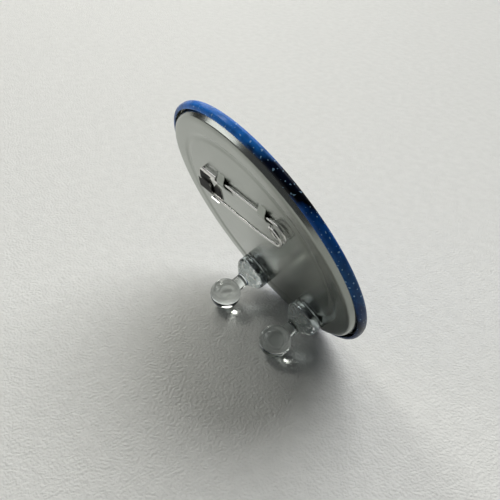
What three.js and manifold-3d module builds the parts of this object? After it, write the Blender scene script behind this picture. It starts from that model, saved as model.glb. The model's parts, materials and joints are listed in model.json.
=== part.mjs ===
// Tin badge that stands on two clear push-pin magnets, with a safety pin on its back plate.
// Millimetres, +Z up. It leans back on the lower edge of its rim and on the two ball ends.
import * as THREE from 'three';
import { mergeVertices } from 'three/addons/utils/BufferGeometryUtils.js';
import Module from 'manifold-3d';

const wasm = await Module();
wasm.setup();

// Badge front: film, printed paper and tin shell, pressed over each other and curled in behind
const badgeDiameter = 75;
const crownWidth = 8.5; // ring in which the front curves back to its edge
const crownTurn = 12; // degrees of curve before the shoulder
const shoulderBend = 0.5; // inside bend of the tin at the front edge
const wallHeight = 0.7;
const curlBend = 0.2; // inside bend of the tin at the rear edge
const curlTurn = 100; // degrees
const filmThickness = 0.12;
const paperThickness = 0.15;
const shellThickness = 0.25;
const layerGap = 0.08;

// Back plate, held inside the curl
const plateThickness = 0.3;
const plateRise = 1.5; // flat above the curl
const plateClearance = 0.15;
const easeTurn = 18; // degrees of easy curve before the edge
const easeRadius = 5;
const edgeTurn = 82; // degrees from the flat to the steep edge
const edgeBend = 1.3;
const skirtBend = 0.3;
const beadDiameter = 58;
const beadWidth = 3.2;
const beadDepth = 0.3;

// Safety pin: x and height are measured from the middle of the plate, rises from its flat
const wireDiameter = 0.8;
const wireClearance = 0.1;
const legHeight = 13.4;
const coilOffset = 15.6;
const coilDiameter = 5.0; // over the middle of the wire
const coilTurns = 1.47;
const coilPitch = 1.35;
const needleGap = 0.4; // between the coil's end and the needle
const needleSwing = 10; // length of the bowed lead out of the coil
const tipLength = 5;
const tipDiameter = 0.16;

// Sheet cap, crimped over the pin's leg, with a lip that catches the needle
const capThickness = 0.35;
const capEnd = 19.6;
const capLength = 10.2;
const capSpan = 6.2; // from the leg to the caught needle
const capHeadRadius = 5.2; // rounded corner over the leg's end
const capCornerRadius = 1.2;
const barrelSetback = 1; // from the cap's mouth to its barrel
const catchLength = 4; // open lip that the needle swings out of
const catchSlit = 0.3; // between the lip and the hem beyond it
const hemWidth = 3; // sheet folded back over the web beyond the catch
const hemBend = 0.15; // inside bend of the fold
const barrelStart = 35; // degrees under the leg where the barrel's edge begins
const barrelTurn = 165; // degrees
const lipTurn = 148; // degrees that the lip curls round the needle
const lipClearance = 0.15;
const tipClearance = 0.5;
const legSetback = 3; // leg's end inside the barrel
const notchWidth = 3.6;
const notchDepth = 2.6;
const notchDrop = 1.8; // from the leg to the notch's upper edge

// Straps lanced out of the plate over the leg
const strapSpacing = 18;
const strapShift = -0.9;
const strapWidth = 3;
const strapAbove = 2.6; // from the leg to each foot of the strap
const strapBelow = 4.4;
const strapSlit = 0.35;
const strapClearance = 0.12;
const strapOverlap = 0.5;

// Clear feet: a round base with a magnet, a waist and a ball
const footSpacing = 24.55;
const footDrop = 25.5;
const footSeat = 0.2;
const baseDiameter = 10.5;
const baseHeight = 2.4;
const baseEdge = 0.4;
const shoulderSwell = 2; // how far the base's curve carries on upward before it turns in
const waistFlare = 0.8; // how far below the waist the curve has turned upright
const waistDiameter = 4;
const waistStart = 6;
const ballDiameter = 8.86;
const footLength = 16.6;
const magnetDiameter = 8;
const magnetHeight = 2;
const magnetClearance = 0.12;

// Facets
const badgeSegments = 48;
const footSegments = 32;
const magnetSegments = 28;
const wireSides = 8;
const wireStep = 0.75;
const needleSteps = 32;
const strapSteps = 6; // from the top of a strap to each foot

const { degToRad } = THREE.MathUtils;

// Walks a section line of runs and arcs, with left turns positive, and keeps its left normals
function walk(start, heading, moves) {
  let [x, y] = start;
  let angle = degToRad(heading);
  const samples = [];
  const keep = () => samples.push({ x, y, nx: -Math.sin(angle), ny: Math.cos(angle) });
  keep();
  for (const { run, turn, radius, steps } of moves) {
    if (run !== undefined) {
      x += run * Math.cos(angle);
      y += run * Math.sin(angle);
      keep();
      continue;
    }
    const side = Math.sign(turn);
    const centre = [x - side * radius * Math.sin(angle), y + side * radius * Math.cos(angle)];
    for (let i = 0; i < steps; i++) {
      angle += degToRad(turn) / steps;
      x = centre[0] + side * radius * Math.sin(angle);
      y = centre[1] - side * radius * Math.cos(angle);
      keep();
    }
  }
  return samples;
}

// Outline of a sheet that lies between two offsets to the left of a walked line
function sheet(samples, near, far) {
  const at = (offset) => samples.map((s) => new THREE.Vector2(s.x + offset * s.nx, s.y + offset * s.ny));
  return [...at(near), ...at(far).reverse()];
}

// Turns a profile round the badge's axis, with the outside facing out
function turned(profile, segments) {
  const points = THREE.ShapeUtils.area(profile) > 0 ? profile : [...profile].reverse();
  return new THREE.LatheGeometry(points, segments);
}

// Sweeps a round wire along a curve, its radius set by the length left to its end
function wire(curve, steps, radiusAt) {
  const length = curve.getLength();
  const { normals, binormals } = curve.computeFrenetFrames(steps, false);
  const points = [];
  for (let i = 0; i <= steps; i++) {
    const centre = curve.getPointAt(i / steps);
    const radius = radiusAt(length * (1 - i / steps));
    for (let j = 0; j < wireSides; j++) {
      const angle = (2 * Math.PI * j) / wireSides;
      const point = centre.clone().addScaledVector(normals[i], radius * Math.cos(angle));
      points.push(point.addScaledVector(binormals[i], radius * Math.sin(angle)));
    }
  }
  const index = [];
  for (let i = 0; i < steps; i++) {
    for (let j = 0; j < wireSides; j++) {
      const a = i * wireSides + j;
      const b = i * wireSides + ((j + 1) % wireSides);
      index.push(a, b, a + wireSides, b, b + wireSides, a + wireSides);
    }
  }
  const last = steps * wireSides;
  for (let j = 1; j < wireSides - 1; j++) {
    index.push(0, j + 1, j, last, last + j, last + j + 1);
  }
  const geometry = new THREE.BufferGeometry().setFromPoints(points);
  geometry.setIndex(index);
  geometry.computeVertexNormals();
  return geometry;
}

function toSolid(geometry) {
  const bare = geometry.clone();
  bare.deleteAttribute('normal');
  bare.deleteAttribute('uv');
  const merged = mergeVertices(bare, 1e-4);
  const vertProperties = new Float32Array(merged.attributes.position.array);
  const triVerts = new Uint32Array(merged.index.array);
  return new wasm.Manifold(new wasm.Mesh({ numProp: 3, vertProperties, triVerts }));
}

function toGeometry(solid) {
  const { vertProperties, triVerts } = solid.getMesh();
  const geometry = new THREE.BufferGeometry();
  geometry.setAttribute('position', new THREE.BufferAttribute(vertProperties, 3));
  geometry.setIndex(new THREE.BufferAttribute(triVerts, 1));
  geometry.computeVertexNormals();
  return geometry;
}

// Extrudes an outline of (height up the plate, rise from it) along x, between two places
function alongPin(outline, from, to) {
  const shape = new THREE.Shape(outline);
  const geometry = new THREE.ExtrudeGeometry(shape, { depth: to - from, bevelEnabled: false });
  const axes = new THREE.Matrix4().set(0, 0, -1, to, 0, 1, 0, plateFace, 1, 0, 0, 0, 0, 0, 0, 1);
  return geometry.applyMatrix4(axes);
}

// Extrudes an outline of (x, height up the plate) out of the plate, between two rises
function outOfPlate(shape, from, to) {
  const geometry = new THREE.ExtrudeGeometry(shape, { depth: to - from, bevelEnabled: false });
  const axes = new THREE.Matrix4().set(1, 0, 0, 0, 0, 0, -1, plateFace + to, 0, 1, 0, 0, 0, 0, 0, 1);
  return geometry.applyMatrix4(axes);
}

// Section of the badge: r from its axis, h out of its back
const badgeRadius = badgeDiameter / 2;
const stack = filmThickness + paperThickness + shellThickness + 2 * layerGap;
const shoulderRadius = shoulderBend + stack;
const curlRadius = curlBend + stack;
const crown = degToRad(crownTurn);
const crownRadius = (crownWidth - shoulderRadius * (1 - Math.sin(crown))) / Math.sin(crown);
const crownDepth = shoulderRadius * Math.cos(crown) + crownRadius * (1 - Math.cos(crown));
const frontFace = -(wallHeight + crownDepth);
const skin = walk([0, frontFace], 0, [
  { run: badgeRadius - crownWidth },
  { turn: crownTurn, radius: crownRadius, steps: 2 },
  { turn: 90 - crownTurn, radius: shoulderRadius, steps: 3 },
  { run: wallHeight },
  { turn: curlTurn, radius: curlRadius, steps: 4 },
]);
const paperOffset = filmThickness + layerGap;
const shellOffset = paperOffset + paperThickness + layerGap;

// Section of the plate: flat, bead, rounded edge and a skirt that goes down as far as the rim's wall
const curlEnd = Math.cos(degToRad(curlTurn));
const mouthRadius = badgeRadius - curlRadius + Math.min(curlRadius * curlEnd, curlBend * curlEnd);
const skirtRadius = mouthRadius - plateClearance;
const plateFace = curlRadius + plateRise;
const ease = degToRad(easeTurn);
const edge = degToRad(edgeTurn);
const edgeRadius = edgeBend + plateThickness;
const skirtCorner = skirtBend + plateThickness;
const roundDrop = easeRadius * (1 - Math.cos(ease)) + edgeRadius * (Math.cos(ease) - Math.cos(edge));
const edgeRun = (plateFace - roundDrop - skirtCorner * Math.cos(edge)) / Math.sin(edge);
const edgeReach = easeRadius * Math.sin(ease) + edgeRadius * (Math.sin(edge) - Math.sin(ease))
  + edgeRun * Math.cos(edge) + skirtCorner * (1 - Math.sin(edge));
const beadTurn = 2 * Math.atan((2 * beadDepth) / beadWidth);
const beadRadius = beadWidth / (4 * Math.sin(beadTurn));
const beadDegrees = THREE.MathUtils.radToDeg(beadTurn);
const beadStart = beadDiameter / 2 - beadWidth / 2;
const plateLine = walk([0, plateFace], 0, [
  { run: beadStart },
  { turn: -beadDegrees, radius: beadRadius, steps: 1 },
  { turn: 2 * beadDegrees, radius: beadRadius, steps: 2 },
  { turn: -beadDegrees, radius: beadRadius, steps: 1 },
  { run: skirtRadius - edgeReach - beadStart - beadWidth },
  { turn: -easeTurn, radius: easeRadius, steps: 2 },
  { turn: easeTurn - edgeTurn, radius: edgeRadius, steps: 4 },
  { run: edgeRun },
  { turn: edgeTurn - 90, radius: skirtCorner, steps: 1 },
  { run: wallHeight },
]);

// Safety pin lines
const wireRadius = wireDiameter / 2;
const lipRadius = wireRadius + lipClearance + capThickness;
const legRise = wireRadius + wireClearance;
const coilRadius = coilDiameter / 2;
const onPlate = (x, height, rise) => new THREE.Vector3(x, plateFace + rise, height);

// The leg and coil as one unbroken wire: straight from the cap, then down and round and outward
class LegAndCoil extends THREE.Curve {
  getPoint(t) {
    const legStart = capEnd - legSetback;
    const legLength = legStart + coilOffset;
    const coilLength = coilTurns * Math.hypot(Math.PI * coilDiameter, coilPitch);
    const travelled = t * (legLength + coilLength);
    if (travelled < legLength) {
      return onPlate(legStart - travelled, legHeight, legRise);
    }
    const turns = (coilTurns * (travelled - legLength)) / coilLength;
    const angle = 2 * Math.PI * turns;
    const x = -coilOffset - coilRadius * Math.sin(angle);
    const height = legHeight - coilRadius * (1 - Math.cos(angle));
    return onPlate(x, height, legRise + coilPitch * turns);
  }
}

const legAndCoil = new LegAndCoil();
legAndCoil.arcLengthDivisions = 2000;
const coilEnd = legAndCoil.getPoint(1);
const needleRise = legRise + coilPitch * coilTurns;
const needleHeight = legHeight - capSpan;
const capMouth = capEnd - capLength;
const coilEndAngle = 2 * Math.PI * coilTurns;
const leadOut = new THREE.Vector3(-Math.cos(coilEndAngle), 0, -Math.sin(coilEndAngle));
const needleStart = coilEnd.clone().addScaledVector(leadOut, needleGap);
const needleCaught = onPlate(capMouth, needleHeight, needleRise);
const needleTip = onPlate(capMouth + catchLength - tipClearance, needleHeight, needleRise);
const needleLine = new THREE.CurvePath();
needleLine.add(new THREE.CubicBezierCurve3(
  needleStart,
  needleStart.clone().addScaledVector(leadOut, needleSwing),
  needleCaught.clone().setX(capMouth - needleSwing),
  needleCaught,
));
needleLine.add(new THREE.LineCurve3(needleCaught, needleTip));

// Least gap between the wire and any stretch of itself that lies half a turn or more away
function leastGap(curve) {
  const length = curve.getLength();
  const count = Math.ceil(length / (wireRadius / 2));
  const points = curve.getSpacedPoints(count);
  const apart = Math.ceil(((Math.PI * coilRadius) / length) * count);
  let least = Infinity;
  for (let i = 0; i < points.length; i++) {
    for (let j = i + apart; j < points.length; j++) {
      least = Math.min(least, points[i].distanceTo(points[j]));
    }
  }
  return least - wireDiameter;
}
console.log(`least gap of the pin's coil to itself: ${leastGap(legAndCoil).toFixed(2)} mm`);

function plateSolid() {
  let plate = toSolid(turned(sheet(plateLine, 0, -plateThickness), badgeSegments));
  const strapTop = legRise + wireRadius + strapClearance + plateThickness;
  const outer = [new THREE.Vector2(legHeight - strapBelow - strapOverlap, 0)];
  for (let i = -strapSteps; i <= strapSteps; i++) {
    const share = i / strapSteps;
    const height = legHeight + share * (share < 0 ? strapBelow : strapAbove);
    outer.push(new THREE.Vector2(height, (strapTop / 2) * (1 + Math.cos(Math.PI * share))));
  }
  outer.push(new THREE.Vector2(legHeight + strapAbove + strapOverlap, 0));
  const inner = outer.map((p) => new THREE.Vector2(p.x, p.y - plateThickness)).reverse();
  for (const side of [-1, 1]) {
    const x = strapShift + (side * strapSpacing) / 2;
    const half = strapWidth / 2;
    const windowHeight = strapAbove + strapBelow;
    const window = new THREE.BoxGeometry(strapWidth + 2 * strapSlit, 4 * plateThickness, windowHeight);
    window.translate(x, plateFace - plateThickness / 2, legHeight + (strapAbove - strapBelow) / 2);
    const strap = alongPin([...outer, ...inner], x - half, x + half);
    plate = plate.subtract(toSolid(window)).add(toSolid(strap));
  }
  return plate;
}

// The cap's section: a barrel over the leg, a web under the needle and a lip round its far side
function capLine(lipMoves) {
  const insideRadius = wireRadius + lipClearance;
  const leg = new THREE.Vector2(legHeight, legRise);
  const around = (angle, radius) =>
    [leg.x + radius * Math.cos(degToRad(angle)), leg.y + radius * Math.sin(degToRad(angle))];
  // The bend back and the lip have one radius, so the web runs level with the line between them
  const [bendX, bendY] = around(barrelTurn - barrelStart, insideRadius + lipRadius);
  const reach = new THREE.Vector2(needleHeight - bendX, needleRise - bendY);
  const webHeading = THREE.MathUtils.radToDeg(reach.angle());
  const barrelHeading = 90 - barrelStart;
  return walk(around(-barrelStart, insideRadius), barrelHeading, [
    { turn: barrelTurn, radius: insideRadius, steps: 8 },
    { turn: webHeading - barrelHeading - barrelTurn, radius: lipRadius, steps: 3 },
    { run: reach.length() },
    ...lipMoves,
  ]);
}

// Plan of the cap: rounded corners, the barrel set back, and a notch between barrel and catch
function capPlan() {
  const top = legHeight + 1.5 * lipRadius;
  const bottom = needleHeight - lipRadius;
  const notchTop = legHeight - notchDrop;
  const notchX = capMouth + catchLength;
  const corner = capCornerRadius;
  const head = capHeadRadius;
  const plan = new THREE.Shape();
  plan.moveTo(capMouth + barrelSetback, notchTop);
  plan.lineTo(notchX + notchWidth / 2, notchTop);
  plan.lineTo(notchX, notchTop - notchDepth);
  plan.lineTo(notchX - notchWidth / 2, notchTop - notchDepth / 4);
  plan.lineTo(capMouth, notchTop - notchDepth / 2);
  plan.lineTo(capMouth, bottom + corner);
  plan.absarc(capMouth + corner, bottom + corner, corner, Math.PI, 1.5 * Math.PI);
  plan.lineTo(capEnd - corner, bottom);
  plan.absarc(capEnd - corner, bottom + corner, corner, -0.5 * Math.PI, 0);
  plan.absarc(capEnd - head, top - head, head, 0, 0.5 * Math.PI);
  plan.lineTo(capMouth + barrelSetback, top);
  return plan;
}

function capSolid() {
  const bent = (moves, from, to) => toSolid(alongPin(sheet(capLine(moves), 0, -capThickness), from, to));
  const lip = [{ turn: -lipTurn, radius: lipRadius, steps: 8 }];
  const hem = [{ turn: -180, radius: hemBend + capThickness, steps: 6 }, { run: hemWidth }];
  // The sheets run past the plan's ends, and the plan trims them
  const first = capMouth - capThickness;
  const last = capEnd + capThickness;
  const catchEnd = capMouth + catchLength;
  const web = bent([], first, last);
  const catchLip = bent(lip, first, catchEnd);
  const folded = bent(hem, catchEnd + catchSlit, last);
  const plan = toSolid(outOfPlate(capPlan(), 0, needleRise + 2 * lipRadius));
  return web.add(catchLip).add(folded).intersect(plan);
}

function footProfile() {
  const baseRadius = baseDiameter / 2;
  const waistRadius = waistDiameter / 2;
  const ballRadius = ballDiameter / 2;
  const pocketRadius = magnetRadius + magnetClearance;
  const pocketDepth = magnetHeight + 2 * magnetClearance;
  const ballCentre = footLength - ballRadius;
  const edge = new THREE.Path().absarc(baseRadius - baseEdge, baseEdge, baseEdge, -0.5 * Math.PI, 0);
  const shoulder = new THREE.CubicBezierCurve(
    new THREE.Vector2(baseRadius, baseHeight),
    new THREE.Vector2(baseRadius, baseHeight + shoulderSwell),
    new THREE.Vector2(waistRadius, waistStart - waistFlare),
    new THREE.Vector2(waistRadius, waistStart),
  );
  const ballStart = Math.asin(waistRadius / ballRadius) - Math.PI / 2;
  const ball = new THREE.Path().absarc(0, ballCentre, ballRadius, ballStart, Math.PI / 2);
  return [
    new THREE.Vector2(0, pocketDepth),
    new THREE.Vector2(pocketRadius, pocketDepth),
    new THREE.Vector2(pocketRadius, 0),
    ...edge.getPoints(1),
    ...shoulder.getPoints(7),
    ...ball.getPoints(6),
  ];
}

function finish(color, roughness, metalness) {
  return new THREE.MeshStandardMaterial({ color, roughness, metalness });
}

const clear = finish(0xdfe8e8, 0.05, 0);
const print = finish(0x2f5fb4, 0.4, 0);
const tin = finish(0x9a9d98, 0.35, 1);
const nickel = finish(0xc9cbc8, 0.2, 1);

function piece(name, geometry, material) {
  const mesh = new THREE.Mesh(geometry, material);
  mesh.name = name;
  return mesh;
}

const badge = new THREE.Group();
const layers = [
  ['clear_film', 0, filmThickness, clear],
  ['print_disc', paperOffset, paperThickness, print],
  ['front_shell', shellOffset, shellThickness, tin],
];
for (const [name, offset, thickness, material] of layers) {
  badge.add(piece(name, turned(sheet(skin, offset, offset + thickness), badgeSegments), material));
}
badge.add(piece('back_plate', toGeometry(plateSolid()), tin));

const legSteps = Math.ceil(legAndCoil.getLength() / wireStep);
badge.add(piece('pin_spring', wire(legAndCoil, legSteps, () => wireRadius), nickel));
const tipSlope = (wireRadius - tipDiameter / 2) / tipLength;
const needleRadius = (left) => Math.min(wireRadius, tipDiameter / 2 + left * tipSlope);
badge.add(piece('pin_needle', wire(needleLine, needleSteps, needleRadius), nickel));
badge.add(piece('pin_cap', toGeometry(capSolid()), nickel));

// Left and right as seen from behind the badge
const magnetRadius = magnetDiameter / 2;
for (const [side, x] of [['left', footSpacing / 2], ['right', -footSpacing / 2]]) {
  const foot = new THREE.Group();
  foot.position.copy(onPlate(x, -footDrop, footSeat));
  foot.add(piece(`${side}_foot`, turned(footProfile(), footSegments), clear));
  const magnet = new THREE.CylinderGeometry(magnetRadius, magnetRadius, magnetHeight, magnetSegments);
  magnet.translate(0, magnetHeight / 2 + magnetClearance, 0);
  foot.add(piece(`${side}_magnet`, magnet, nickel));
  badge.add(foot);
}

// Lean at which the curl's lowest edge and the balls stand on one floor
const ballRise = footSeat + footLength - ballDiameter / 2;
const across = badgeRadius - curlRadius - footDrop;
const behind = plateFace + ballRise;
const higher = ballDiameter / 2 - curlRadius;
const lean = Math.acos(higher / Math.hypot(across, behind)) - Math.atan2(behind, across);
badge.rotation.x = -lean;

// Origin on the floor, under the middle of the box round it all
const part = new THREE.Group();
part.add(badge);
part.updateMatrixWorld(true);
const box = new THREE.Box3().setFromObject(part, true);
const middle = box.getCenter(new THREE.Vector3());
badge.position.set(-middle.x, -middle.y, -box.min.z);

export default part;
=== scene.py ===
"""Looks for a tin badge that stands on two clear push-pin magnets, seen from behind."""
import json
import math

import bmesh
import bpy
from mathutils import Matrix, Vector, noise


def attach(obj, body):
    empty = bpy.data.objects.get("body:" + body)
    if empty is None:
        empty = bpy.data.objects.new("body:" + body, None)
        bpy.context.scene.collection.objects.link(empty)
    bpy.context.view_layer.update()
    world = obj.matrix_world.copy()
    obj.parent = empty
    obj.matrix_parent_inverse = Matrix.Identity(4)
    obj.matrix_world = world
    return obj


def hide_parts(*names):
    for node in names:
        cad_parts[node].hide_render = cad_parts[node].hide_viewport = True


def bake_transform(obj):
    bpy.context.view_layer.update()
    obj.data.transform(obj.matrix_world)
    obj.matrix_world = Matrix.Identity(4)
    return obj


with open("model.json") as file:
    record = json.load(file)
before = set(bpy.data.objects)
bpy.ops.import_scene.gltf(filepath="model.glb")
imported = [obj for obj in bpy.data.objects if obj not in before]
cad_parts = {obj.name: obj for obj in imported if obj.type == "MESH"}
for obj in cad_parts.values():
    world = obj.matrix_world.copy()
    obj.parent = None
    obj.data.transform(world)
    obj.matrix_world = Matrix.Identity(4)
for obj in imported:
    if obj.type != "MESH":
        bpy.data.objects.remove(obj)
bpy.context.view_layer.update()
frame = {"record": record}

# The badge's own lengths are in millimetres, and angles are in degrees
MM = 0.001

# Badge front: r from the badge's axis, h out of its back
SEGMENTS = 240  # round the badge
BADGE_RADIUS = 37.5
CROWN_WIDTH, CROWN_TURN = 8.5, 12
SHOULDER_RADIUS = 1.18
WALL_HEIGHT = 0.7
CURL_RADIUS, CURL_TURN = 0.98, 100
PRINT_THICKNESS = 0.35  # film and paper together
SHELL_NEAR, SHELL_FAR = 0.43, 0.68  # the tin, in from the film's outside

# Back plate
PLATE_FACE = 2.38
PLATE_THICKNESS = 0.3
SKIRT_RADIUS, SKIRT_CORNER = 35.85, 0.9
EASE_TURN, EASE_RADIUS = 18, 3
BEVEL_TURN, BEVEL_RADIUS = 64, 1
BEAD_MIDDLE, BEAD_WIDTH, BEAD_DEPTH = 29, 3.2, 0.3
STRAP_PLACES = (-9.9, 8.1)
STRAP_WIDTH, STRAP_SLIT = 3, 0.35
STRAP_ABOVE, STRAP_BELOW, STRAP_TOP = 2.6, 4.4, 1.32
STRAP_CORNER, STRAP_SINK, STRAP_TAIL = 0.07, 0.02, 0.5
STRAP_STEPS = 20  # from its top down to either end
SLIT_REACH = 1  # of the cutter, to both sides of the plate's face

# Safety pin
WIRE_RADIUS, WIRE_SIDES = 0.4, 20
LEG_HEIGHT, LEG_RISE, LEG_START = 13.4, 0.5, 16.6
COIL_OFFSET, COIL_RADIUS, COIL_TURNS, COIL_PITCH = 15.6, 2.5, 1.47, 1.35
COIL_STEPS = 90
OVERLAP_STEPS, OVERLAP_STEP = 3, 0.01  # the needle starts inside the coil; steps in turns
NEEDLE_HEIGHT, NEEDLE_RISE = 7.2, LEG_RISE + COIL_PITCH * COIL_TURNS
NEEDLE_SWING, NEEDLE_STEPS = 10, 70
TIP_LENGTH, TIP_RADIUS, TIP_CLEARANCE, TIP_STEPS = 5, 0.08, 0.5, 12
CAP_MOUTH, CAP_END, CAP_THICKNESS = 9.4, 19.6, 0.35
CAP_HEAD_RADIUS, CAP_CORNER_RADIUS = 5.2, 1.2
BARREL_SETBACK, BARREL_START, BARREL_TURN = 1, 35, 165
CATCH_LENGTH, CATCH_SLIT, LIP_TURN = 4, 0.3, 148
HEM_WIDTH, HEM_RADIUS = 3, 0.5
NOTCH_WIDTH, NOTCH_DEPTH, NOTCH_DROP = 3.6, 2.6, 1.8
LIP_INSIDE = 0.55
LIP_RADIUS = LIP_INSIDE + CAP_THICKNESS
WORN_EDGE, WORN_ANGLE = 0.05, 50
PAINTED_SHADE_FACING = 0.85  # how far a face of the cap looks out of the plate to get the painted shade

# Clear feet
FOOT_PLACES = {"left": 12.275, "right": -12.275}
FOOT_DROP, FOOT_SEAT, FOOT_LENGTH, FOOT_SEGMENTS = 25.5, 0.2, 16.6, 96
BASE_RADIUS, BASE_HEIGHT, BASE_EDGE = 5.25, 2.4, 0.4
SHOULDER_SWELL, WAIST_FLARE = 2, 0.8
WAIST_RADIUS, WAIST_START, BALL_RADIUS = 2, 6, 4.43
MAGNET_RADIUS, MAGNET_HEIGHT, MAGNET_SEGMENTS = 4, 2, 72
MAGNET_CLEARANCE, MAGNET_EDGE, MAGNET_BREAK = 0.12, 0.15, 0.045
GLUED = 0.02  # the magnet sits this far into the plastic, with no air between
GLUE_SWELL, GLUE_GRAIN = 0.24, 0.75  # height of the glue's bumps over the magnet and their size
ROOF_STEPS, WALL_STEPS = 14, 6  # of the pocket round the magnet

# Faces that meet at more than this stay sharp
SHARP, SHEET_SHARP = 35, 30
ON_AXIS = 1e-6  # a ring smaller than this is one point

# The print, in shares of the paper's radius, of a whole turn and of 1
SWIRL_EDGE, SWIRL_TURN, SWIRL_FRAY = 0.97, 0.35, 0.05
SPECK_LEVEL, SPECK_STRENGTH = 0.74, 0.65


def turtle(start, heading, moves):
    """Points of a section line, each with its left normal.

    A move is a run, (length,), or an arc, (turn, radius, steps), with left turns positive.
    """
    x, y = start
    angle = math.radians(heading)
    samples = [(x, y, -math.sin(angle), math.cos(angle))]
    for move in moves:
        if len(move) == 1:
            x += move[0] * math.cos(angle)
            y += move[0] * math.sin(angle)
            samples.append((x, y, -math.sin(angle), math.cos(angle)))
            continue
        turn, radius, steps = move
        side = math.copysign(1, turn)
        centre_x = x - side * radius * math.sin(angle)
        centre_y = y + side * radius * math.cos(angle)
        for _ in range(steps):
            angle += math.radians(turn) / steps
            x = centre_x + side * radius * math.sin(angle)
            y = centre_y - side * radius * math.cos(angle)
            samples.append((x, y, -math.sin(angle), math.cos(angle)))
    return samples


def offset(samples, distance):
    return [(x + distance * nx, y + distance * ny) for x, y, nx, ny in samples]


def sheet(samples, near, far):
    """Closed outline of a sheet between two offsets from a section line."""
    return offset(samples, near) + offset(samples, far)[::-1]


def arc(x, y, radius, start, stop, steps=10):
    angles = [math.radians(start + (stop - start) * k / steps) for k in range(steps + 1)]
    return [(x + radius * math.cos(a), y + radius * math.sin(a)) for a in angles]


def circle(radius):
    angles = [2 * math.pi * k / WIRE_SIDES for k in range(WIRE_SIDES)]
    return [(radius * math.cos(a), radius * math.sin(a)) for a in angles]


def bezier(points, count):
    path = []
    for i in range(count + 1):
        t = i / count
        weights = ((1 - t) ** 3, 3 * t * (1 - t) ** 2, 3 * t * t * (1 - t), t ** 3)
        path.append(sum((p * w for p, w in zip(points, weights)), Vector.Fill(len(points[0]))))
    return path


def lathe(profile, segments):
    """Turns a profile of (r, h), on the axis at both ends or closed, round the badge's axis."""
    bm = bmesh.new()
    rings = []
    for r, h in profile:
        count = segments if r > ON_AXIS else 1
        angles = [2 * math.pi * k / count for k in range(count)]
        rings.append([bm.verts.new((r * math.cos(a), h, r * math.sin(a))) for a in angles])
    pairs = list(zip(rings, rings[1:]))
    if len(rings[0]) > 1:
        pairs.append((rings[-1], rings[0]))
    for low, high in pairs:
        if len(low) == len(high) == 1:
            continue
        for k in range(segments):
            corners = [low[k % len(low)], low[(k + 1) % segments % len(low)]]
            corners += [high[(k + 1) % segments % len(high)], high[k % len(high)]]
            bm.faces.new(dict.fromkeys(corners))
    bmesh.ops.recalc_face_normals(bm, faces=bm.faces)
    return bm


def skin(bm, rings):
    """Joins rings of points into a closed solid with flat ends."""
    for low, high in zip(rings, rings[1:]):
        for k in range(len(low)):
            j = (k + 1) % len(low)
            bm.faces.new((low[k], low[j], high[j], high[k]))
    bm.faces.new(rings[0][::-1])
    bm.faces.new(rings[-1])
    bmesh.ops.recalc_face_normals(bm, faces=bm.faces)
    return bm


def sweep(path, sections, side):
    """Sweeps closed sections of (side, across) along a path without twisting."""
    bm = bmesh.new()
    last = len(path) - 1
    rings = []
    before = None
    for i, (point, section) in enumerate(zip(path, sections)):
        tangent = (path[min(i + 1, last)] - path[max(i - 1, 0)]).normalized()
        if before is not None:
            side = before.rotation_difference(tangent) @ side
        side = (side - tangent * side.dot(tangent)).normalized()
        across = tangent.cross(side)
        rings.append([bm.verts.new(point + side * a + across * b) for a, b in section])
        before = tangent
    return skin(bm, rings)


def prism(outline, lift, low, high):
    """A closed outline pushed between two places; lift turns (a, b, place) into a point."""
    bm = bmesh.new()
    rings = [[bm.verts.new(lift(a, b, place)) for a, b in outline] for place in (low, high)]
    return skin(bm, rings)


def on_plate(x, height, rise):
    return Vector((x, PLATE_FACE + rise, height))


def along_pin(height, rise, x):
    """A point on the plate for an outline that is pushed along the pin."""
    return on_plate(x, height, rise)


def solid(bm):
    """A helper object for cutting and joining, in the badge's own millimetres."""
    mesh = bpy.data.meshes.new("helper")
    bm.to_mesh(mesh)
    bm.free()
    obj = bpy.data.objects.new("helper", mesh)
    bpy.context.collection.objects.link(obj)
    return obj


def combine(target, *steps):
    """Joins or cuts helper solids one after the other and gives back the mesh."""
    for operation, tool in steps:
        modifier = target.modifiers.new("combine", "BOOLEAN")
        modifier.operation = operation
        modifier.object = tool
        modifier.solver = "EXACT"
    bpy.context.view_layer.update()
    depsgraph = bpy.context.evaluated_depsgraph_get()
    bm = bmesh.new()
    bm.from_object(target, depsgraph)
    for obj in [target] + [tool for _, tool in steps]:
        bpy.data.meshes.remove(obj.data)
    return bm


# The badge's own axes in the row frame: across, out of the back and up the plate
front_mount = next(m for m in frame["record"]["mounts"] if m["name"] == "front_face")
out = -Vector(front_mount["axis"]).normalized()
right = Vector((1, 0, 0))
up = right.cross(out)
crown = math.radians(CROWN_TURN)
CROWN_RADIUS = (CROWN_WIDTH - SHOULDER_RADIUS * (1 - math.sin(crown))) / math.sin(crown)
FRONT_FACE = -(
    WALL_HEIGHT + SHOULDER_RADIUS * math.cos(crown) + CROWN_RADIUS * (1 - math.cos(crown))
)
middle = Vector(front_mount["pos_m"]) - out * FRONT_FACE * MM
TO_ROW = Matrix.Translation(middle) @ Matrix((right, out, up)).transposed().to_4x4()
TO_ROW = TO_ROW @ Matrix.Scale(MM, 4)


def add_piece(name, bm, material, body, nodes=(), sharp=SHARP):
    """Puts a mesh of the badge's own millimetres into the row frame, on its body."""
    bm.transform(TO_ROW)
    mesh = bpy.data.meshes.new(name)
    bm.to_mesh(mesh)
    bm.free()
    mesh.shade_smooth()
    mesh.set_sharp_from_angle(angle=math.radians(sharp))
    mesh.materials.append(material)
    obj = bpy.data.objects.new(name, mesh)
    bpy.context.collection.objects.link(obj)
    if body:
        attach(obj, body)
    if nodes:
        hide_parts(*nodes)
    return obj


def linear(red, green, blue):
    """Linear colour of an 8-bit screen colour."""
    def one(value):
        value /= 255
        return value / 12.92 if value <= 0.04045 else ((value + 0.055) / 1.055) ** 2.4
    return (one(red), one(green), one(blue), 1)


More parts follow.
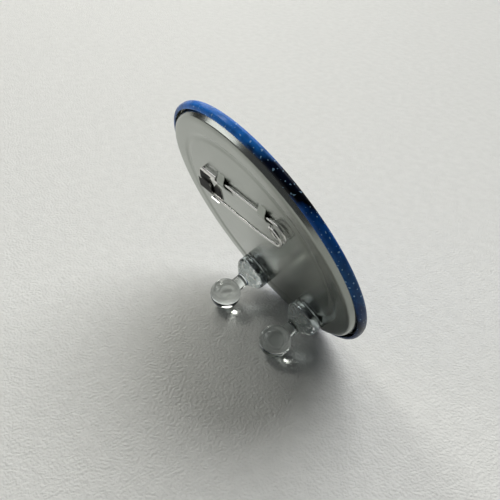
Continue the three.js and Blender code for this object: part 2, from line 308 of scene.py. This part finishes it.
class Nodes:
    """Short calls for building the node tree of a material or of the world."""

    def __init__(self, owner, shader):
        owner.use_nodes = True
        self.owner = owner
        self.tree = owner.node_tree
        self.shader = self.tree.nodes[shader]

    def put(self, socket, value):
        """Links a socket to another node's output, or sets its own value."""
        if isinstance(value, bpy.types.NodeSocket):
            self.tree.links.new(value, socket)
        else:
            socket.default_value = value

    def add(self, kind, inputs=None, **settings):
        node = self.tree.nodes.new(kind)
        for key, value in settings.items():
            setattr(node, key, value)
        for key, value in (inputs or {}).items():
            self.put(node.inputs[key], value)
        return node

    def set(self, **inputs):
        """Sets or links the shader's own sockets; underscores stand for spaces."""
        for key, value in inputs.items():
            self.put(self.shader.inputs[key.replace("_", " ")], value)
        return self.owner

    def math(self, operation, first, second=0.0):
        node = self.add("ShaderNodeMath", {0: first, 1: second}, operation=operation)
        return node.outputs[0]

    def noise(self, vector, scale, detail=3.0, roughness=0.5):
        inputs = {"Vector": vector, "Scale": scale, "Detail": detail, "Roughness": roughness}
        return self.add("ShaderNodeTexNoise", inputs).outputs["Fac"]

    def ramp(self, value, stops):
        node = self.add("ShaderNodeValToRGB", {"Fac": value})
        elements = node.color_ramp.elements
        while len(elements) < len(stops):
            elements.new(0.5)
        for element, (position, colour) in zip(elements, stops):
            element.position = position
            element.color = colour
        return node.outputs["Color"]

    def mix(self, factor, first, second, blend="MIX"):
        """Mixes two colours."""
        inputs = {0: factor, 6: first, 7: second}
        node = self.add("ShaderNodeMix", inputs, data_type="RGBA", blend_type=blend)
        return node.outputs[2]

    def scaled(self, value, low, high):
        """A 0 to 1 value spread between two numbers."""
        inputs = {"Value": value, "To Min": low, "To Max": high}
        return self.add("ShaderNodeMapRange", inputs).outputs["Result"]

    def bump(self, height, strength, distance):
        inputs = {"Height": height, "Strength": strength, "Distance": distance}
        return self.add("ShaderNodeBump", inputs).outputs["Normal"]

    def place(self, scale=(1, 1, 1)):
        """Object coordinates in metres, stretched by a scale."""
        where = self.add("ShaderNodeTexCoord").outputs["Object"]
        return self.add("ShaderNodeMapping", {"Vector": where, "Scale": scale}).outputs["Vector"]


def new_look(name):
    return Nodes(bpy.data.materials.new(name), "Principled BSDF")


def glossy_print():
    """Printed paper under a clear film: a swirl of blues with fine pale specks."""
    n = new_look("glossy_print")
    flat = n.add("ShaderNodeUVMap", uv_map="flat_paper").outputs["UV"]
    centred = n.add("ShaderNodeVectorMath", {0: flat, 1: (0.5, 0.5, 0)}, operation="SUBTRACT")
    parts = n.add("ShaderNodeSeparateXYZ", {0: centred.outputs[0]})
    length = n.add("ShaderNodeVectorMath", {0: centred.outputs[0]}, operation="LENGTH")
    radius = n.math("MULTIPLY", length.outputs["Value"], 2.0)
    angle = n.math("ARCTAN2", parts.outputs["Y"], parts.outputs["X"])
    share = n.math("MULTIPLY", angle, 1 / (2 * math.pi))
    # The colours follow the angle, which the swirl turns towards the middle and the cloud frays
    swirl = n.math("MULTIPLY", n.math("SUBTRACT", radius, SWIRL_EDGE), SWIRL_TURN)
    cloud = n.noise(flat, scale=22.0, detail=4.0)
    wander = n.math("MULTIPLY", n.math("SUBTRACT", cloud, 0.5), SWIRL_FRAY)
    turned = n.math("ADD", n.math("ADD", share, swirl), wander)
    turned = n.math("FRACT", n.math("ADD", turned, 0.5))
    # The dark dip round 0.055 lies on the rim's lower end and is painted shade there, deepening
    # the print's blue
    colours = n.ramp(turned, [
        (0.00, linear(34, 74, 124)),
        (0.03, linear(28, 62, 108)),
        (0.055, linear(8, 20, 38)),
        (0.085, linear(22, 52, 94)),
        (0.30, linear(34, 84, 168)),
        (0.55, linear(60, 110, 180)),
        (0.64, linear(40, 100, 176)),
        (0.69, linear(30, 132, 236)),
        (0.795, linear(34, 128, 222)),
        (0.822, linear(8, 18, 36)),
        (0.872, linear(2, 3, 6)),
        (0.892, linear(26, 90, 172)),
        (0.96, linear(38, 88, 142)),
    ])
    blotch = n.noise(flat, scale=30.0, detail=2.0)
    blotch = n.ramp(blotch, [(0.46, (0, 0, 0, 1)), (0.66, (0.3, 0.3, 0.3, 1))])
    colours = n.mix(blotch, colours, linear(10, 28, 66))
    fleck = n.noise(flat, scale=260.0, detail=2.0)
    colours = n.mix(n.scaled(fleck, 0.0, 0.35), colours, linear(40, 80, 150), "MULTIPLY")
    specks = n.math("GREATER_THAN", n.noise(flat, scale=110.0, detail=0.0), SPECK_LEVEL)
    colours = n.mix(n.math("MULTIPLY", specks, SPECK_STRENGTH), colours, linear(170, 214, 246))
    grain = n.noise(flat, scale=900.0, detail=2.0)
    return n.set(
        Base_Color=colours,
        Roughness=n.scaled(cloud, 0.28, 0.42),
        Normal=n.bump(grain, strength=0.08, distance=0.00001),
        Specular_IOR_Level=0.06,
        Coat_Weight=0.2,
        Coat_Roughness=0.1,
        Coat_IOR=1.3,
    )


def satin_tinplate():
    """Rolled tinplate: a faint grain across the sheet, cloudy sheen and small pits."""
    n = new_look("satin_tinplate")
    cloud = n.noise(n.place(), scale=70.0, detail=4.0)
    grain = n.noise(n.place((60, 2600, 2600)), scale=1.0, detail=4.0, roughness=0.6)
    pits = n.noise(n.place(), scale=1500.0, detail=2.0)
    tone = n.ramp(cloud, [(0.3, linear(160, 164, 158)), (0.7, linear(174, 178, 172))])
    tone = n.mix(n.scaled(grain, 0.0, 0.16), tone, linear(130, 133, 128))
    sheen = n.math("ADD", n.scaled(cloud, 0.17, 0.26), n.scaled(grain, -0.03, 0.05))
    height = n.math("ADD", n.math("MULTIPLY", grain, 0.6), n.math("MULTIPLY", pits, 0.4))
    return n.set(
        Base_Color=tone,
        Metallic=1.0,
        Roughness=sheen,
        Normal=n.bump(height, strength=0.12, distance=0.00002),
    )


def bright_nickel():
    """Nickel-plated wire and sheet with fine drawing marks."""
    n = new_look("bright_nickel")
    marks = n.noise(n.place((300, 9000, 9000)), scale=1.0)
    dull = n.noise(n.place(), scale=2000.0)
    tone = n.ramp(dull, [(0.35, linear(224, 224, 220)), (0.75, linear(240, 240, 237))])
    return n.set(
        Base_Color=tone,
        Metallic=1.0,
        Roughness=n.scaled(dull, 0.12, 0.16),
        Normal=n.bump(marks, strength=0.02, distance=0.00001),
    )


def shade_painted_nickel():
    """Dull near-black sheet: painted shade on the cap's web and hem faces that look out of the
    plate, mottled at random.
    """
    n = new_look("shade_painted_nickel")
    worn = n.noise(n.place(), scale=1400.0, detail=4.0, roughness=0.6)
    tone = n.ramp(worn, [(0.4, linear(4, 4, 4)), (0.75, linear(32, 33, 31))])
    return n.set(
        Base_Color=tone,
        Specular_IOR_Level=0.08,
        Roughness=n.scaled(worn, 0.3, 0.5),
        Normal=n.bump(worn, strength=0.06, distance=0.00001),
    )


def clear_acrylic():
    """Clear moulded plastic with the faint waviness of its mould."""
    n = new_look("clear_acrylic")
    wave = n.noise(n.place(), scale=260.0, detail=2.0)
    haze = n.noise(n.place(), scale=900.0, detail=2.0)
    return n.set(
        Base_Color=(0.85, 0.885, 0.875, 1),
        Roughness=n.scaled(haze, 0.0, 0.05),
        Transmission_Weight=1.0,
        IOR=1.49,
        Normal=n.bump(wave, strength=0.06, distance=0.00005),
    )


def magnet_nickel():
    """Plated magnet, its face uneven with dried glue."""
    n = new_look("magnet_nickel")
    scuff = n.noise(n.place(), scale=700.0, detail=4.0)
    glue = n.noise(n.place(), scale=900.0)
    tone = n.ramp(scuff, [(0.3, linear(196, 203, 205)), (0.7, linear(222, 227, 228))])
    return n.set(
        Base_Color=tone,
        Metallic=1.0,
        Roughness=n.scaled(scuff, 0.08, 0.18),
        Normal=n.bump(glue, strength=0.25, distance=0.0003),
    )


def pale_floor():
    """A smooth table top with the fine relief of leathercloth."""
    n = new_look("pale_floor")
    where = n.place()
    creases = n.noise(where, scale=300.0)
    pores = n.noise(where, scale=1300.0, detail=2.0)
    relief = n.math("ADD", pores, n.math("MULTIPLY", creases, 0.35))
    tone = n.ramp(creases, [(0.3, linear(224, 225, 222)), (0.7, linear(231, 232, 229))])
    return n.set(
        Base_Color=tone,
        Roughness=0.55,
        Normal=n.bump(relief, strength=0.8, distance=0.0004),
    )


def skin_line():
    """The film's outside, from the middle of the front round the rim into the curl."""
    return turtle((0, FRONT_FACE), 0, [
        (BADGE_RADIUS - CROWN_WIDTH,),
        (CROWN_TURN, CROWN_RADIUS, 10),
        (90 - CROWN_TURN, SHOULDER_RADIUS, 10),
        (WALL_HEIGHT,),
        (CURL_TURN, CURL_RADIUS, 12),
    ])


def plate_line():
    """The plate's outside, from its middle over the bead and the bevel down the skirt."""
    ease, bevel = math.radians(EASE_TURN), math.radians(BEVEL_TURN)
    drop = EASE_RADIUS * (1 - math.cos(ease)) + SKIRT_CORNER * math.cos(bevel)
    drop += BEVEL_RADIUS * (math.cos(ease) - math.cos(bevel))
    run = (PLATE_FACE - drop) / math.sin(bevel)
    reach = EASE_RADIUS * math.sin(ease) + BEVEL_RADIUS * (math.sin(bevel) - math.sin(ease))
    reach += run * math.cos(bevel) + SKIRT_CORNER * (1 - math.sin(bevel))
    bead = 2 * math.atan(2 * BEAD_DEPTH / BEAD_WIDTH)
    bead_radius = BEAD_WIDTH / (4 * math.sin(bead))
    bead_start = BEAD_MIDDLE - BEAD_WIDTH / 2
    turn = math.degrees(bead)
    return turtle((0, PLATE_FACE), 0, [
        (bead_start,),
        (-turn, bead_radius, 5),
        (2 * turn, bead_radius, 10),
        (-turn, bead_radius, 5),
        (SKIRT_RADIUS - reach - bead_start - BEAD_WIDTH,),
        (-EASE_TURN, EASE_RADIUS, 10),
        (EASE_TURN - BEVEL_TURN, BEVEL_RADIUS, 12),
        (run,),
        (BEVEL_TURN - 90, SKIRT_CORNER, 6),
        (WALL_HEIGHT,),
    ])


def build_front(print_look, tin):
    """The printed front with its film, whose flat layout is its texture map, over the shell."""
    line = skin_line()
    flat = [0.0]  # how far each ring of the paper is from its middle
    for (x0, y0, *_), (x1, y1, *_) in zip(line, line[1:]):
        flat.append(flat[-1] + math.hypot(x1 - x0, y1 - y0))
    bm = lathe(sheet(line, 0, PRINT_THICKNESS), SEGMENTS)
    layer = bm.loops.layers.uv.new("flat_paper")
    spread = flat + flat[::-1]
    bm.verts.index_update()
    for face in bm.faces:
        for loop in face.loops:
            # The first ring is a single point on the axis
            ring = (loop.vert.index + SEGMENTS - 1) // SEGMENTS
            share = spread[ring] / (2 * flat[-1])
            angle = math.atan2(loop.vert.co.z, loop.vert.co.x)
            loop[layer].uv = (0.5 + share * math.cos(angle), 0.5 + share * math.sin(angle))
    add_piece("front_print", bm, print_look, "badge", ["clear_film", "print_disc"])
    shell = lathe(sheet(line, SHELL_NEAR, SHELL_FAR), SEGMENTS)
    add_piece("tin_front", shell, tin, "badge", ["front_shell"])


def build_plate(tin):
    """Back plate with its bead, and the straps lanced up over the pin's leg."""
    plate = solid(lathe(sheet(plate_line(), 0, -PLATE_THICKNESS), SEGMENTS))
    half, corner = STRAP_WIDTH / 2, STRAP_CORNER
    section = [
        (corner - half, -PLATE_THICKNESS),
        (half - corner, -PLATE_THICKNESS),
        (half, corner - PLATE_THICKNESS),
        (half, -corner),
        (half - corner, 0),
        (corner - half, 0),
        (-half, -corner),
        (-half, corner - PLATE_THICKNESS),
    ]
    low, high = LEG_HEIGHT - STRAP_BELOW, LEG_HEIGHT + STRAP_ABOVE
    wide = half + STRAP_SLIT
    steps = []
    for x in STRAP_PLACES:
        window = [(x - wide, low), (x + wide, low), (x + wide, high), (x - wide, high)]
        steps.append(("DIFFERENCE", solid(prism(window, on_plate, -SLIT_REACH, SLIT_REACH))))
        path = [on_plate(x, low - STRAP_TAIL, -STRAP_SINK)]
        for k in range(-STRAP_STEPS, STRAP_STEPS + 1):
            share = k / STRAP_STEPS
            height = LEG_HEIGHT + share * (STRAP_BELOW if share < 0 else STRAP_ABOVE)
            rise = STRAP_TOP / 2 * (1 + math.cos(math.pi * share)) - STRAP_SINK
            path.append(on_plate(x, height, rise))
        path.append(on_plate(x, high + STRAP_TAIL, -STRAP_SINK))
        strap = sweep(path, [section] * len(path), Vector((1, 0, 0)))
        steps.append(("UNION", solid(strap)))
    add_piece("tin_back", combine(plate, *steps), tin, "badge", ["back_plate"], SHEET_SHARP)


def coil_point(turns):
    angle = 2 * math.pi * turns
    x = -COIL_OFFSET - COIL_RADIUS * math.sin(angle)
    height = LEG_HEIGHT - COIL_RADIUS * (1 - math.cos(angle))
    return on_plate(x, height, LEG_RISE + COIL_PITCH * turns)


def build_pin(nickel):
    """One wire: the leg and coil stay on the badge, and the needle bends out of the coil."""
    leg_points = int(LEG_START + COIL_OFFSET)  # one each millimetre
    path = [on_plate(LEG_START - k, LEG_HEIGHT, LEG_RISE) for k in range(leg_points)]
    path += [coil_point(COIL_TURNS * k / COIL_STEPS) for k in range(COIL_STEPS + 1)]
    spring = sweep(path, [circle(WIRE_RADIUS)] * len(path), Vector((0, 1, 0)))
    add_piece("pin_leg_and_coil", spring, nickel, "badge", ["pin_spring"])

    end = coil_point(COIL_TURNS)
    angle = 2 * math.pi * COIL_TURNS
    lead = Vector((-math.cos(angle), 0, -math.sin(angle)))
    caught = on_plate(CAP_MOUTH, NEEDLE_HEIGHT, NEEDLE_RISE)
    swung = on_plate(CAP_MOUTH - NEEDLE_SWING, NEEDLE_HEIGHT, NEEDLE_RISE)
    path = [coil_point(COIL_TURNS + OVERLAP_STEP * k) for k in range(-OVERLAP_STEPS, 0)]
    path += bezier((end, end + lead * NEEDLE_SWING, swung, caught), NEEDLE_STEPS)
    reach = CATCH_LENGTH - TIP_CLEARANCE
    path += [caught + Vector((reach * k / TIP_STEPS, 0, 0)) for k in range(1, TIP_STEPS + 1)]
    left = [0.0]  # wire between the tip and each point, from the tip back
    for first, second in zip(path[::-1], path[-2::-1]):
        left.append(left[-1] + (second - first).length)
    slope = (WIRE_RADIUS - TIP_RADIUS) / TIP_LENGTH
    sections = [circle(min(WIRE_RADIUS, TIP_RADIUS + s * slope)) for s in left[::-1]]
    needle = sweep(path, sections, Vector((0, 1, 0)))
    piece = add_piece("pin_needle_wire", needle, nickel, None, ["pin_needle"])
    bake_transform(piece)


def build_cap(nickel, inside):
    """Sheet cap: a barrel over the leg, a web, a lip over the needle and a folded hem."""
    def around(angle, radius):
        a = math.radians(angle)
        return LEG_HEIGHT + radius * math.cos(a), LEG_RISE + radius * math.sin(a)

    bend = Vector(around(BARREL_TURN - BARREL_START, LIP_INSIDE + LIP_RADIUS))
    reach = Vector((NEEDLE_HEIGHT, NEEDLE_RISE)) - bend
    web_heading = math.degrees(math.atan2(reach.y, reach.x)) % 360
    first_heading = 90 - BARREL_START

    def bent(moves, low, high):
        line = turtle(around(-BARREL_START, LIP_INSIDE), first_heading, [
            (BARREL_TURN, LIP_INSIDE, 20),
            (web_heading - first_heading - BARREL_TURN, LIP_RADIUS, 8),
            (reach.length,),
            *moves,
        ])
        return solid(prism(sheet(line, 0, -CAP_THICKNESS), along_pin, low, high))

    top = LEG_HEIGHT + 1.5 * LIP_RADIUS  # clear of the barrel
    bottom = NEEDLE_HEIGHT - LIP_RADIUS
    catch_end = CAP_MOUTH + CATCH_LENGTH
    notch_top = LEG_HEIGHT - NOTCH_DROP
    corner, head = CAP_CORNER_RADIUS, CAP_HEAD_RADIUS
    plan = [
        (CAP_MOUTH + BARREL_SETBACK, notch_top),
        (catch_end + NOTCH_WIDTH / 2, notch_top),
        (catch_end, notch_top - NOTCH_DEPTH),
        (catch_end - NOTCH_WIDTH / 2, notch_top - NOTCH_DEPTH / 4),
        (CAP_MOUTH, notch_top - NOTCH_DEPTH / 2),
        *arc(CAP_MOUTH + corner, bottom + corner, corner, 180, 270),
        *arc(CAP_END - corner, bottom + corner, corner, -90, 0),
        *arc(CAP_END - head, top - head, head, 0, 90),
        (CAP_MOUTH + BARREL_SETBACK, top),
    ]
    low, high = CAP_MOUTH - CAP_THICKNESS, CAP_END + CAP_THICKNESS
    lip = bent([(-LIP_TURN, LIP_RADIUS, 20)], low, catch_end)
    hem = bent([(-180, HEM_RADIUS, 16), (HEM_WIDTH,)], catch_end + CATCH_SLIT, high)
    cutter = solid(prism(plan, on_plate, 0, NEEDLE_RISE + 2 * LIP_RADIUS))
    steps = (("UNION", lip), ("UNION", hem), ("INTERSECT", cutter))
    cap = combine(bent([], low, high), *steps)
    # Web and hem faces that look out of the plate below the notch take the second material,
    # which is painted shade
    for face in cap.faces:
        centre = face.calc_center_median()
        shown = face.normal.y > PAINTED_SHADE_FACING and centre.z < notch_top
        if shown and (centre.x > catch_end or centre.z > NEEDLE_HEIGHT + LIP_RADIUS):
            face.material_index = 1
    piece = add_piece("pin_cap_sheet", cap, nickel, "badge", ["pin_cap"], SHEET_SHARP)
    # The second material is the painted shade
    piece.data.materials.append(inside)
    bevel = piece.modifiers.new("worn_edges", "BEVEL")
    bevel.width = WORN_EDGE * MM
    bevel.segments = 2
    bevel.angle_limit = math.radians(WORN_ANGLE)
    bevel.harden_normals = True


def foot_outline():
    """Half section of a foot: the pocket for the magnet, the base, the waist and the ball."""
    shoulder = bezier((
        Vector((BASE_RADIUS, BASE_HEIGHT)),
        Vector((BASE_RADIUS, BASE_HEIGHT + SHOULDER_SWELL)),
        Vector((WAIST_RADIUS, WAIST_START - WAIST_FLARE)),
        Vector((WAIST_RADIUS, WAIST_START)),
    ), 24)
    ball_start = math.degrees(math.asin(WAIST_RADIUS / BALL_RADIUS)) - 90
    depth = MAGNET_CLEARANCE + MAGNET_HEIGHT - GLUED
    radius = MAGNET_RADIUS - GLUED
    outline = [(radius * k / ROOF_STEPS, depth) for k in range(ROOF_STEPS + 1)]
    outline += [(radius, depth * (1 - k / WALL_STEPS)) for k in range(1, WALL_STEPS + 1)]
    outline += arc(BASE_RADIUS - BASE_EDGE, BASE_EDGE, BASE_EDGE, -90, 0, 8)
    outline += [(p.x, p.y) for p in shoulder]
    outline += arc(0, FOOT_LENGTH - BALL_RADIUS, BALL_RADIUS, ball_start, 90, 36)
    outline[-1] = (0, FOOT_LENGTH)
    return outline


def magnet_outline():
    """Half section of a disc with broken edges."""
    lower = [
        (0, 0),
        (MAGNET_RADIUS - MAGNET_EDGE, 0),
        (MAGNET_RADIUS - MAGNET_BREAK, MAGNET_BREAK),
        (MAGNET_RADIUS, MAGNET_EDGE),
    ]
    return lower + [(r, MAGNET_HEIGHT - h) for r, h in lower[::-1]]


def build_feet(clear, plated):
    """A clear foot on each side, with bumps of glue over the magnet inside it."""
    pocket_top = MAGNET_CLEARANCE + MAGNET_HEIGHT
    for side, x in FOOT_PLACES.items():
        body = f"{side}_magnet_foot"
        seat = Matrix.Translation(on_plate(x, -FOOT_DROP, FOOT_SEAT))
        foot = lathe(foot_outline(), FOOT_SEGMENTS)
        for vertex in foot.verts:
            inside = vertex.co.xz.length < MAGNET_RADIUS
            if inside and MAGNET_EDGE < vertex.co.y < pocket_top:
                grain = noise.noise((vertex.co + Vector((x, 0, 0))) / GLUE_GRAIN)
                vertex.co.y += GLUE_SWELL * grain
        foot.transform(seat)
        add_piece(f"{side}_clear_foot", foot, clear, body, [f"{side}_foot"])
        magnet = lathe(magnet_outline(), MAGNET_SEGMENTS)
        magnet.transform(seat @ Matrix.Translation((0, MAGNET_CLEARANCE, 0)))
        add_piece(f"{side}_disc_magnet", magnet, plated, body, [f"{side}_magnet"])


tinplate, wire_nickel = satin_tinplate(), bright_nickel()
build_front(glossy_print(), tinplate)
build_plate(tinplate)
build_pin(wire_nickel)
build_cap(wire_nickel, shade_painted_nickel())
build_feet(clear_acrylic(), magnet_nickel())


# Camera at the photograph's view, fitted to the edges of the badge, the pin and the feet
AZIMUTH, ELEVATION, ROLL = (math.radians(a) for a in (232.824, 33.184, 4.949))
DISTANCE = 210.377 * MM
AIM_OUT, AIM_SHIFT = 0.25, Vector((4.893, 0, -10.489))  # from the badge's middle
AIM = middle + out * AIM_OUT * MM + AIM_SHIFT * MM
FOCAL_SHARE = 772.9 / 500  # focal length over the width of the image, both in pixels
SENSOR_WIDTH = 36
NEAR_CLIP = 0.01  # metres
backward = Vector((
    math.sin(AZIMUTH) * math.cos(ELEVATION),
    -math.cos(AZIMUTH) * math.cos(ELEVATION),
    math.sin(ELEVATION),
))
level = (-backward).cross(Vector((0, 0, 1))).normalized()
upright = Matrix((level, backward.cross(level), backward)).transposed().to_4x4()
camera_data = bpy.data.cameras.new("camera")
camera_data.sensor_width = SENSOR_WIDTH
camera_data.lens = FOCAL_SHARE * SENSOR_WIDTH
camera_data.clip_start = NEAR_CLIP
camera = bpy.data.objects.new("camera", camera_data)
camera.matrix_world = (
    Matrix.Translation(AIM + backward * DISTANCE) @ upright @ Matrix.Rotation(ROLL, 4, "Z")
)
bpy.context.collection.objects.link(camera)
bpy.context.scene.camera = camera

# Pale floor
FLOOR_REACH = 30  # metres to each side
floor_bm = bmesh.new()
bmesh.ops.create_grid(floor_bm, x_segments=1, y_segments=1, size=FLOOR_REACH)
floor_mesh = bpy.data.meshes.new("floor")
floor_bm.to_mesh(floor_mesh)
floor_bm.free()
floor_mesh.materials.append(pale_floor())
floor = bpy.data.objects.new("floor", floor_mesh)
bpy.context.collection.objects.link(floor)

WINDOW_DISTANCE = 3  # metres
WARM = (1, 0.985, 0.92)


def add_light(name, azimuth, elevation, power, spread=0, window=(), slant=0, colour=(1, 1, 1)):
    """A soft light: a far one with an angular spread, or a window's width and height in metres.

    Azimuths run from +X to +Y, and slant turns a window in its own plane.
    """
    data = bpy.data.lights.new(name, "AREA" if window else "SUN")
    data.energy = power
    data.color = colour
    if window:
        data.shape = "RECTANGLE"
        data.size, data.size_y = window
    else:
        data.angle = math.radians(spread)
    a, e = math.radians(azimuth), math.radians(elevation)
    towards = Vector((math.cos(a) * math.cos(e), math.sin(a) * math.cos(e), math.sin(e)))
    obj = bpy.data.objects.new(name, data)
    obj.location = towards * WINDOW_DISTANCE
    aimed = (-towards).to_track_quat("-Z", "Y").to_matrix()
    obj.rotation_euler = (aimed @ Matrix.Rotation(math.radians(slant), 3, "Z")).to_euler()
    bpy.context.collection.objects.link(obj)


# Broad soft light from the badge's front and side, and two windows
add_light("key", azimuth=-70, elevation=52, power=1.9, spread=52)
add_light("side", azimuth=-27, elevation=28, power=1.06, spread=40, colour=WARM)
add_light("window", azimuth=10, elevation=46, power=15.2, window=(0.8, 0.5), colour=WARM)
add_light("low_window", azimuth=42, elevation=26, power=6.8, window=(2.0, 0.42), slant=24)

# A dim room, lightest on the side that the badge's back faces
ROOM_COLOUR = (0.93, 0.96, 1.0, 1)
BACKDROP = 0.74  # brightness
room = Nodes(bpy.data.worlds.new("studio"), "Background")
direction = room.add("ShaderNodeTexCoord").outputs["Generated"]
facing = room.add("ShaderNodeSeparateXYZ", {0: direction}).outputs["Y"]
limits = {"From Min": 0.4, "From Max": 0.8, "To Min": 0.002, "To Max": 0.1}
shade = room.add("ShaderNodeMapRange", {"Value": facing, **limits}).outputs["Result"]
# What is seen above the floor's far edge is a pale backdrop, which lights nothing
seen = room.add("ShaderNodeLightPath").outputs["Is Camera Ray"]
strength = room.add("ShaderNodeMix", {0: seen, 2: shade, 3: BACKDROP}).outputs[0]
bpy.context.scene.world = room.set(Color=ROOM_COLOUR, Strength=strength)
bpy.context.scene.view_settings.view_transform = "Standard"
bpy.context.scene.cycles.blur_glossy = 0  # keeps the bright spots under the balls sharp
